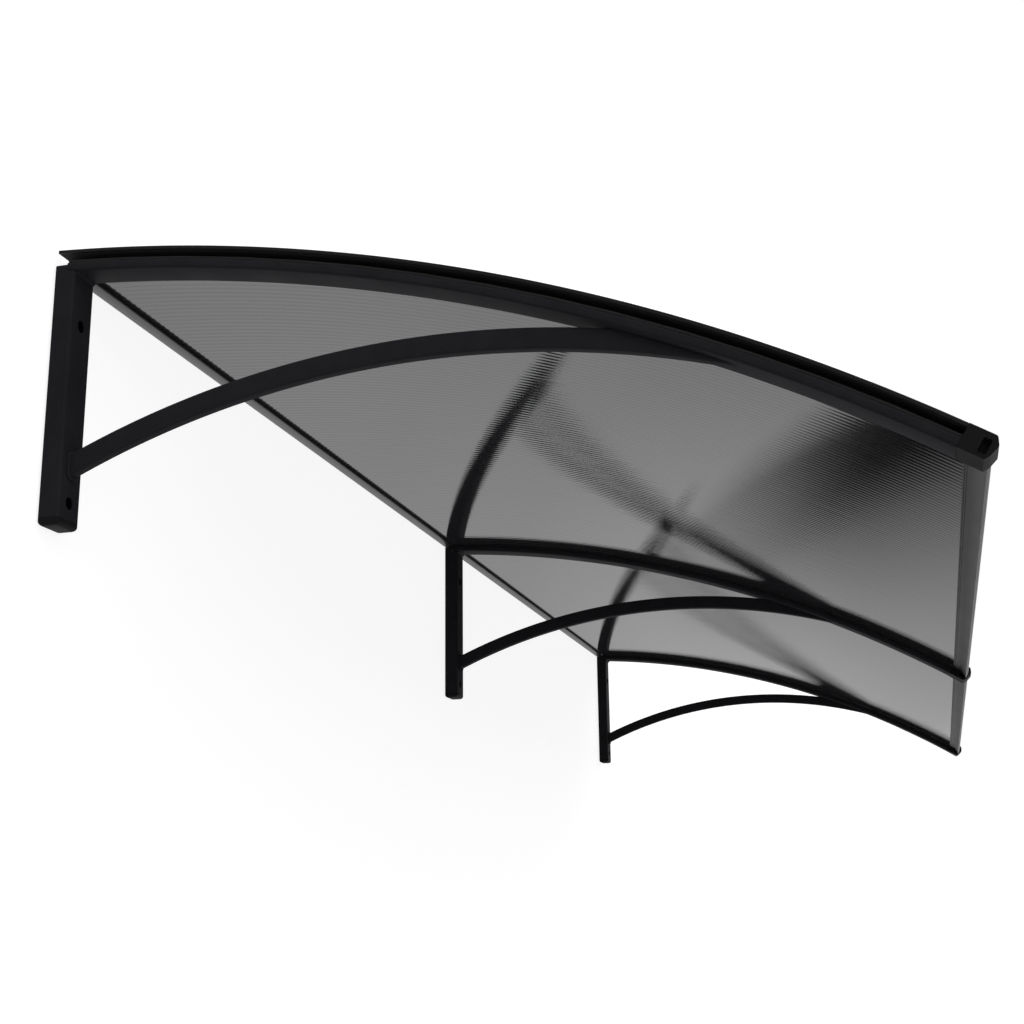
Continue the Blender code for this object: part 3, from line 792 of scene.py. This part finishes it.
    def brace_weld(self, weld: Nodes, finish: Material) -> Mesh:
        """Return the rippled bead round the brace's rear end."""
        face = -SIZES.depth - SIZES.gap
        low = SIZES.brace.level_at(face, 0) - self.weld_out
        high = SIZES.brace.level_at(face, self.brace_height) + self.weld_out
        half = self.brace_width / 2 + self.weld_out
        loop = rounded(self.x - half, self.x + half, low, high, self.brace_corner + self.weld_out)
        path = bpy.data.meshes.new("weld path")
        count = len(loop)
        edges = [(i, (i + 1) % count) for i in range(count)]
        path.from_pydata([(x, face - self.weld_lead, z) for x, z in loop], edges, [])
        return grown(path, weld, "weld", Bead=self.bead, Step=self.bead_step, Ripple=self.ripple,
                     Ripple_Length=self.ripple_length, Finish=finish)

    def cover_strip(self) -> Mesh:
        """Return the cover strip: a shallow channel with a softly rounded top."""
        half, edge = self.half, self.strip_round
        low, top = SIZES.strip_low, SIZES.strip_top
        inside, web = half - self.strip_wall, top - self.strip_wall
        outline = [(-half, low), (-inside, low), (-inside, web), (inside, web), (inside, low), (half, low),
                   *bow((half - edge, top - edge), edge, 0, 90, 4), *bow((edge - half, top - edge), edge, 90, 180, 4)]
        return swept("cover strip", [outline], down_roof(self.x, SIZES.strip_setback, SIZES.arm_end),
                     self.roof_steps, self.roof_run)

    def front_cap(self) -> Mesh:
        """Return the moulded cap: rounded nose, slots for the sheets and a deep recess in each side."""
        gap, half, top = SIZES.gap, self.half, SIZES.strip_top
        outline = filleted([(gap, 0), *self.cap_nose, (self.cap_top, top), (gap, top)], self.cap_rounds, 6)
        body = swept("cap", [outline], along_wall(self.x - half, self.x + half, SIZES.front), 1, 0.035)
        slot = oblong(-SIZES.sheet_lap, SIZES.sheet_lap + gap, SIZES.sheet_low - gap, SIZES.sheet_high + gap)
        recess = rounded(*self.recess, 4)
        cutters = []
        for side in (-1, 1):
            past = self.x + side * 2 * half
            if side in self.glazed_sides:
                start = self.x + side * (SIZES.sheet_to_middle - gap)
                cutters.append(swept("slot", [slot], along_wall(start, past, SIZES.front), 1, 0.03))
            floor = self.x + side * (half - self.recess_depth)
            cutters.append(swept("recess", [recess], along_wall(floor, past, SIZES.front), 1, 0.01))
        return drilled(body, cutters)


def screw_mesh(level: float) -> Mesh:
    """Return one pan-head screw with a cross recess, its head's seat at height level."""
    profile = [(0.0, 0.0), (0.0040, 0.0), (0.00425, 0.0002), (0.00425, 0.0007), (0.0040, 0.00095),
               (0.0034, 0.0011), (0.0031, 0.0017), (0.0024, 0.0022), (0.0013, 0.00255), (0.0, 0.0026)]
    body = bmesh.new()
    ring = [body.verts.new((radius, 0.0, level + rise)) for radius, rise in profile]
    edges = [body.edges.new(pair) for pair in zip(ring, ring[1:])]
    bmesh.ops.spin(body, geom=ring + edges, cent=(0, 0, 0), axis=(0, 0, 1), angle=2 * pi, steps=32, use_merge=True)
    bmesh.ops.remove_doubles(body, verts=body.verts, dist=1e-7)
    head = closed_mesh(body, "screw")

    def place(a: float, b: float, station: float) -> Vector:
        """Widen the recess from its floor to above the head."""
        return Vector((a * (0.55 + 0.6 * station), b * (0.8 + 0.3 * station), level + 0.0008 + 0.0022 * station))
    return drilled(head, [swept("recess", [oblong(-along, along, -across, across)], place, 1, 0.002)
                          for along, across in ((0.0023, 0.00045), (0.00045, 0.0023))])


def screw_tree() -> Nodes:
    """Build the tree that sets a screw at even steps round an arc.

    Returns:
        The tree's builder; the seed is one screw, already as far above the centre as the arc is.
    """
    nodes = geometry_tree("screw row", ("First Angle", "Step Angle"), ("Count",), ("Centre",))
    given = nodes.add("NodeGroupInput").outputs
    line = nodes.put(nodes.add("GeometryNodeMeshLine", mode="OFFSET"), Count=given["Count"], Offset=(0.0, 0.0, 0.0))
    step = nodes.math("MULTIPLY", nodes.made("GeometryNodeInputIndex"), given["Step Angle"])
    turn = nodes.made("ShaderNodeCombineXYZ", X=nodes.math("ADD", given["First Angle"], step))
    row = nodes.made("GeometryNodeInstanceOnPoints", "Instances", Points=line.outputs["Mesh"],
                     Instance=given["Geometry"], Rotation=turn)
    stand = nodes.made("GeometryNodeTransform", "Geometry", Geometry=row, Translation=given["Centre"])
    close_tree(nodes, [stand], given["Finish"])
    return nodes


def weld_tree() -> Nodes:
    """Build the tree that turns a path into a rippled weld bead.

    Returns:
        The tree's builder; Bead is the bead's radius, Ripple its share that rises and falls.
    """
    nodes = geometry_tree("weld bead", ("Bead", "Step", "Ripple", "Ripple Length"))
    given = nodes.add("NodeGroupInput").outputs
    curve = nodes.made("GeometryNodeMeshToCurve", Mesh=given["Geometry"])
    fine = nodes.put(nodes.add("GeometryNodeResampleCurve", mode="LENGTH"), Curve=curve, Length=given["Step"])
    along = nodes.made("GeometryNodeSplineParameter", "Length")
    turn = nodes.math("MULTIPLY", nodes.math("DIVIDE", along, given["Ripple Length"]), pi)
    rise = nodes.math("MULTIPLY", nodes.math("ABSOLUTE", nodes.math("SINE", turn)), given["Ripple"])
    share = nodes.math("ADD", nodes.math("SUBTRACT", 1.0, given["Ripple"]), rise)
    sized = nodes.made("GeometryNodeSetCurveRadius", Curve=fine.outputs[0],
                       Radius=nodes.math("MULTIPLY", given["Bead"], share))
    ring = nodes.made("GeometryNodeCurvePrimitiveCircle", "Curve", Resolution=10, Radius=1.0)
    bead = nodes.made("GeometryNodeCurveToMesh", Curve=sized, Profile_Curve=ring,
                      Scale=nodes.made("GeometryNodeInputRadius"))
    close_tree(nodes, [bead], given["Finish"])
    return nodes


# Bays

@dataclass
class Bay:
    """One glazed bay: fluted sheet, wall rail and front profile."""

    name: str
    left: float
    right: float
    pitch: float = 0.010
    skin: float = 0.0006
    web: float = 0.0005
    clearance: float = 0.00002
    steps: int = 40
    wall: float = 0.0015
    rail_depth: float = 0.013
    rail_drop: float = 0.0045
    rail_lip: float = 0.0016
    profile_back: float = 0.002
    nose: float = 0.011
    nose_drop: float = 0.0052
    nose_edge: float = 0.001
    line_places: tuple[float, ...] = (0.0036, 0.0056)
    line_depth: float = 0.0005

    def build(self, finishes: Finishes, sheets: Nodes) -> None:
        """Make and dress every piece of the bay."""
        place_parts(self.name, ((self.sheet(sheets, finishes.glazing), "sheet", None, Slot.GLAZING),
                                (self.front_profile(), "front_profile", finishes.aluminium, Slot.ALUMINIUM),
                                (self.wall_rail(), "wall_rail", finishes.rail, Slot.ALUMINIUM)))

    def sheet(self, sheets: Nodes, finish: Material) -> Mesh:
        """Return the twin-wall sheet."""
        roof = SIZES.roof
        thickness = SIZES.sheet_high - SIZES.sheet_low
        radius = roof.radius + SIZES.sheet_low + thickness / 2
        first = asin((roof.centre_y - SIZES.sheet_rear) / radius)
        last = SIZES.arm_end + SIZES.sheet_lap / radius
        width = self.right - self.left - 2 * SIZES.sheet_to_middle
        mesh = grown(bpy.data.meshes.new("seed"), sheets, "sheet", Width=width, Thickness=thickness, Skin=self.skin,
                     Web=self.web, Clearance=self.clearance, Radius=radius, First_Angle=first, Sweep=last - first,
                     Centre=(0.0, roof.centre_y, roof.centre_z), Webs=round(width / self.pitch) + 1,
                     Steps=self.steps, Finish=finish)
        mesh.transform(Matrix.Translation(((self.left + self.right) / 2, 0.0, 0.0)))
        return mesh

    def ends(self) -> Point2:
        """Return where the rail's channel and the profile start and end along the wall."""
        edge = SIZES.width / 2 + SIZES.gap
        return self.left + edge, self.right - edge

    def wall_rail(self) -> Mesh:
        """Return the wall rail: a channel, open to the front, whose lower wall goes on over the uprights."""
        roof, wall, front = SIZES.roof, self.wall, -self.rail_depth
        low = roof.level_at(front, SIZES.sheet_low) - self.rail_drop
        high = roof.level_at(SIZES.sheet_rear, SIZES.sheet_high) + SIZES.gap
        lip = [(front + wall, low + wall), (front + wall, low + wall + self.rail_lip),
               (front, low + wall + self.rail_lip), (front, low)]
        rounds = (0.0003, 0.0005, 0.0005, 0.0009)
        channel = filleted([(0, low), (0, high + wall), (front, high + wall), (front, high), (-wall, high),
                            (-wall, low + wall), *lip], (0.0004, 0.0008, 0.0006, 0.0006, 0.0003, 0.0003, *rounds), 3)
        lower = filleted([(0, low), (0, low + wall), *lip], (0.0004, 0.0004, *rounds), 3)
        first, last = self.ends()
        rail = swept("wall rail", [channel], along_wall(first, last), 1, self.right - self.left)
        runs = ((self.left + SIZES.gap, first - self.clearance), (last + self.clearance, self.right - SIZES.gap))
        return joined([rail, *(swept("tongue", [lower], along_wall(*run), 1, run[1] - run[0]) for run in runs)])

    def front_profile(self) -> Mesh:
        """Return the front profile: a channel and a hollow nose, with fine grooves below and in front."""
        under, over = SIZES.sheet_low - SIZES.gap, SIZES.sheet_high + SIZES.gap
        bottom, top = under - self.wall, over + self.wall
        back, stop = self.profile_back, SIZES.sheet_lap + SIZES.gap
        root = stop + self.wall
        tip, drip, middle = root + self.nose, bottom - self.nose_drop, top - self.nose
        outline = [(back, bottom)]
        for reach in self.line_places:
            outline += [(reach - 0.0004, bottom), (reach - 0.0002, bottom + self.line_depth),
                        (reach + 0.0002, bottom + self.line_depth), (reach + 0.0004, bottom)]
        outline += [(root, bottom), (tip - self.nose_edge, drip), (tip, drip + self.nose_edge),
                    *self.grooves(tip, drip + self.nose_edge, middle), *bow((root, middle), self.nose, 0, 90, 12),
                    (back, top), (back, over), (stop, over), (stop, under), (back, under)]
        inner = self.nose - self.wall
        chamber = [(root, bottom + self.wall), (root + inner, drip + self.wall + self.nose_edge),
                   *bow((root, middle), inner, 0, 90, 8)]
        return swept("front profile", [outline, chamber], along_wall(*self.ends(), SIZES.front), 1,
                     self.right - self.left)

    def grooves(self, reach: float, low: float, high: float, count: int = 4, depth: float = 0.0003) -> Loop2:
        """Return the points of the grooves that run along the nose's front face."""
        pitch = (high - low) / (count + 1)
        middles = [low + pitch * (i + 1) for i in range(count)]
        return [point for middle in middles
                for point in ((reach, middle - pitch / 4), (reach - depth, middle - pitch / 8),
                              (reach - depth, middle + pitch / 8), (reach, middle + pitch / 4))]


def sheet_tree() -> Nodes:
    """Build the tree that makes a bent twin-wall sheet from its sizes.

    Returns:
        The tree's builder; the sheet's middle line is an arc about Centre.
    """
    nodes = geometry_tree("twin-wall sheet", ("Width", "Thickness", "Skin", "Web", "Clearance", "Radius",
                                              "First Angle", "Sweep"), ("Webs", "Steps"), ("Centre",))
    given = nodes.add("NodeGroupInput").outputs
    half = nodes.math("MULTIPLY", given["Thickness"], 0.5)
    inner = nodes.math("SUBTRACT", half, given["Skin"])

    def strip(width: object, height: object, rise: object) -> NodeSocket:
        """Return a rectangle of that size swept round the arc, rise metres from its middle radius."""
        section = nodes.made("GeometryNodeCurvePrimitiveQuadrilateral", "Curve", Width=height, Height=width)
        arc = nodes.made("GeometryNodeCurveArc", "Curve", Resolution=nodes.math("ADD", given["Steps"], 1),
                         Radius=nodes.math("ADD", given["Radius"], rise), Sweep_Angle=given["Sweep"],
                         Start_Angle=nodes.math("ADD", given["First Angle"], pi / 2))
        sweep = nodes.made("GeometryNodeCurveToMesh", "Mesh", Curve=arc, Profile_Curve=section, Fill_Caps=True)
        return nodes.made("GeometryNodeTransform", "Geometry", Geometry=sweep, Translation=given["Centre"],
                          Rotation=(pi / 2, 0.0, pi / 2))

    level = nodes.math("SUBTRACT", half, nodes.math("MULTIPLY", given["Skin"], 0.5))
    low_skin = strip(given["Width"], given["Skin"], nodes.math("MULTIPLY", level, -1.0))
    high_skin = strip(given["Width"], given["Skin"], level)
    gap = nodes.math("SUBTRACT", nodes.math("MULTIPLY", inner, 2.0), nodes.math("MULTIPLY", given["Clearance"], 2.0))
    span = nodes.math("SUBTRACT", given["Width"], given["Web"])
    first = nodes.made("ShaderNodeCombineXYZ", X=nodes.math("MULTIPLY", span, -0.5))
    step = nodes.made("ShaderNodeCombineXYZ", X=nodes.math("DIVIDE", span, nodes.math("SUBTRACT", given["Webs"], 1)))
    line = nodes.put(nodes.add("GeometryNodeMeshLine", mode="OFFSET"), Count=given["Webs"], Start_Location=first,
                     Offset=step)
    webs = nodes.made("GeometryNodeInstanceOnPoints", "Instances", Points=line.outputs["Mesh"],
                      Instance=strip(given["Web"], gap, 0.0))
    close_tree(nodes, (low_skin, high_skin, webs), given["Finish"])
    return nodes


# Stage, lights and camera

def looked_at(nodes: Nodes) -> NodeSocket:
    """Return 1 where the camera, a mirror or glass looks, and 0 for other rays."""
    rays = nodes.add("ShaderNodeLightPath").outputs
    return nodes.math("MAXIMUM", nodes.math("MAXIMUM", rays["Is Camera Ray"], rays["Is Glossy Ray"]),
                      rays["Is Transmission Ray"])


@dataclass
class Stage:
    """White wall, pale floor, a panel of painted reflection and soft light.

    The panel is seen only in reflections. There it paints the wall's shade and a dark patch beside the canopy. Its
    ramps are (place, level) stops: fade (painted shade of the reflected wall) and dark (a painted dark reflection)
    along X in metres, and foot (painted shade, darker towards its foot) by the share of the way down from Z = 0 to
    the panel's foot level.
    """

    wall_gap: float = 0.002
    panel_gap: float = 0.001
    floor_level: float = -1.6
    reach: float = 40.0
    white: float = 0.32
    lift: float = 0.87
    sky: float = 0.7
    panel_start: float = -2.5
    panel_end: float = 12.0
    panel_top: float = 0.5
    panel_foot: float = -0.5
    # Painted reflection: fade is painted shade of the wall as mirrors see it, dark a painted dark patch, foot painted
    # shade towards the panel's foot.
    fade: tuple[Point2, ...] = ((-1.0, 1.0), (-0.6, 0.88), (-0.3, 0.78), (0.37, 0.68), (1.05, 0.68), (3.9, 0.69),
                                (7.0, 0.62), (12.0, 0.6))
    dark: tuple[Point2, ...] = ((1.28, 0.0), (1.3, 1.0), (2.05, 1.0), (2.25, 0.74), (2.8, 0.52), (3.7, 0.35),
                                (5.0, 0.2), (7.0, 0.1), (12.0, 0.0))
    foot: tuple[Point2, ...] = ((0.0, 0.0), (0.24, 0.2), (0.34, 0.35), (0.54, 0.6), (0.76, 0.95), (1.0, 1.0))
    suns: tuple[tuple, ...] = (("key", (0.5, -1.0, 1.2), 1.0, 60.0), ("fill", (-1.0, -1.2, 0.2), 0.6, 90.0),
                               ("bounce", (-1.0, -0.8, -0.9), 1.3, 100.0))

    def backdrop_material(self, name: str) -> Material:
        """Return a matt pale material, lifted to white where the camera, a mirror or glass looks at it.

        Its back is clear, so the canopy can be seen from any side.
        """
        material, nodes = plain_material(name)
        shader = nodes.put(nodes.tree.nodes["Principled BSDF"], Base_Color=opaque((self.white,) * 3), Roughness=1.0,
                           Specular_IOR_Level=0.0, Emission_Color=opaque((1.0,) * 3),
                           Emission_Strength=nodes.math("MULTIPLY", looked_at(nodes), self.lift))
        side = nodes.add("ShaderNodeMixShader")
        for socket, value in zip(side.inputs, (nodes.made("ShaderNodeNewGeometry", "Backfacing"), shader.outputs[0],
                                               nodes.made("ShaderNodeBsdfTransparent"))):
            nodes.feed(socket, value)
        nodes.put(nodes.tree.nodes["Material Output"], Surface=side.outputs[0])
        return material

    def shares(self, stops: Sequence[Point2]) -> list[Point2]:
        """Return (X, level) stops with X as a share of the panel's length."""
        return [((x - self.panel_start) / (self.panel_end - self.panel_start), level) for x, level in stops]

    def reflection_panel_material(self) -> Material:
        """Return the panel's glowing material, a painted reflection: painted shade, dark near the canopy and at its
        foot, paling away from both.
        """
        material, nodes = plain_material("painted reflection panel")
        place = nodes.made("ShaderNodeTexCoord", "Object")
        parts = nodes.put(nodes.add("ShaderNodeSeparateXYZ"), Vector=place).outputs
        along = nodes.spread(parts["X"], 0.0, 1.0, self.panel_start, self.panel_end)
        foot = nodes.ramp(nodes.spread(parts["Z"], 1.0, 0.0, self.panel_foot, 0.0), self.foot)
        dark = nodes.math("MULTIPLY", nodes.ramp(along, self.shares(self.dark)), foot)
        # Glow that paints reflections: the reflected wall's painted shade, less where the painted dark patch lies.
        light = nodes.math("MULTIPLY", nodes.ramp(along, self.shares(self.fade)), nodes.math("SUBTRACT", 1.0, dark))
        nodes.put(nodes.tree.nodes["Material Output"], Surface=nodes.made("ShaderNodeEmission", Strength=light))
        return material

    def plane(self, name: str, corners: Sequence[Sequence[float]], material: Material) -> Object:
        """Return a stage plane through four corners."""
        mesh = bpy.data.meshes.new(name)
        mesh.from_pydata(corners, [], [(0, 1, 2, 3)])
        mesh.materials.append(material)
        thing = linked(name, mesh)
        thing.visible_shadow = False
        return thing

    def build(self) -> None:
        """Make the wall, the floor, the panel of painted reflection, the world and the lamps."""
        far, low = self.reach, self.floor_level
        pale = self.backdrop_material("white backdrop")
        self.plane("backdrop wall", [(x, self.wall_gap, z) for x, z in oblong(-far, far, low, far)], pale)
        self.plane("pale floor", [(x, y, low) for x, y in oblong(-far, far, -far, far)], pale)
        sides = oblong(self.panel_start, self.panel_end, low, self.panel_top)
        reflection_panel = self.plane("painted reflection panel", [(x, self.panel_gap, z) for x, z in sides], self.reflection_panel_material())
        # Seen only by glossy rays, so it only paints reflections in the glazing and the metal.
        reflection_panel.visible_diffuse = False
        reflection_panel.visible_camera = False
        self.world()
        for name, toward, strength, angle in self.suns:
            self.sun(name, Vector(toward), strength, angle)

    def world(self) -> None:
        """Make a plain soft sky that the camera, mirrors and glass see as white."""
        world = bpy.data.worlds.new("soft studio")
        world.use_nodes = True
        bpy.context.scene.world = world
        nodes = Nodes(world.node_tree)
        lift = nodes.math("MULTIPLY", looked_at(nodes), 1.0 - self.sky)
        nodes.put(world.node_tree.nodes["Background"], Color=opaque((1.0,) * 3),
                  Strength=nodes.math("ADD", self.sky, lift))

    def sun(self, name: str, toward: Vector, strength: float, angle: float) -> None:
        """Make a wide soft sun that shines from a direction."""
        data = bpy.data.lights.new(name, "SUN")
        data.energy = strength
        data.angle = radians(angle)
        thing = bpy.data.objects.new(name, data)
        thing.rotation_mode = "QUATERNION"
        thing.rotation_quaternion = toward.to_track_quat("Z", "Y")
        bpy.context.scene.collection.objects.link(thing)


@dataclass(frozen=True)
class PhotoCamera:
    """The camera that gives the photograph's view."""

    place: tuple[float, float, float] = (-2.32209, -0.75141, -0.44552)
    yaw: float = 15.388
    pitch: float = 14.970
    roll: float = -0.666
    lens: float = 52.511
    sensor: float = 36.0

    def build(self) -> None:
        """Make the camera and hand it to the scene."""
        yaw, pitch, roll = (radians(v) for v in (self.yaw, self.pitch, self.roll))
        ahead = Vector((cos(pitch) * cos(yaw), cos(pitch) * sin(yaw), sin(pitch)))
        level = Vector((sin(yaw), -cos(yaw), 0.0))
        above = level.cross(ahead)
        right = level * cos(roll) + above * sin(roll)
        up = above * cos(roll) - level * sin(roll)
        data = bpy.data.cameras.new("photo camera")
        data.lens = self.lens
        data.sensor_width = self.sensor
        data.clip_start = 0.01
        thing = bpy.data.objects.new("photo camera", data)
        turn = Matrix((right, up, -ahead)).transposed().to_4x4()
        thing.matrix_world = Matrix.Translation(self.place) @ turn
        bpy.context.scene.collection.objects.link(thing)
        bpy.context.scene.camera = thing


def dress_packed_nodes(finishes: Finishes) -> None:
    """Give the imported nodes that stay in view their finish."""
    kinds = {"bed_seal": finishes.rubber, "strip_seal": finishes.rubber, "rail_seal": finishes.rubber,
             "arm_weld": finishes.powder}
    for name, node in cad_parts.items():
        for kind, finish in kinds.items():
            if kind in name:
                node.data.materials.clear()
                node.data.materials.append(finish)


def main() -> None:
    """Dress the canopy and set the stage."""
    logging.basicConfig(level=logging.INFO, format="%(name)s: %(message)s")
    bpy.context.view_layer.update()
    PhotoCamera().build()
    Stage().build()
    finishes = Finishes()
    dress_packed_nodes(finishes)
    weld = weld_tree()
    screws = screw_tree()
    for name, x in SIZES.sides.items():
        glazed = tuple(side for side in (-1, 1) if abs(x + side * SIZES.bay_width) < 1.5 * SIZES.bay_width)
        Bracket(name, x, glazed).build(finishes, weld, screws)
    sheets = sheet_tree()
    Bay("left", -SIZES.bay_width, 0.0).build(finishes, sheets)
    Bay("right", 0.0, SIZES.bay_width).build(finishes, sheets)
    bpy.context.scene.view_settings.view_transform = "Standard"


if __name__ == "__main__":
    main()
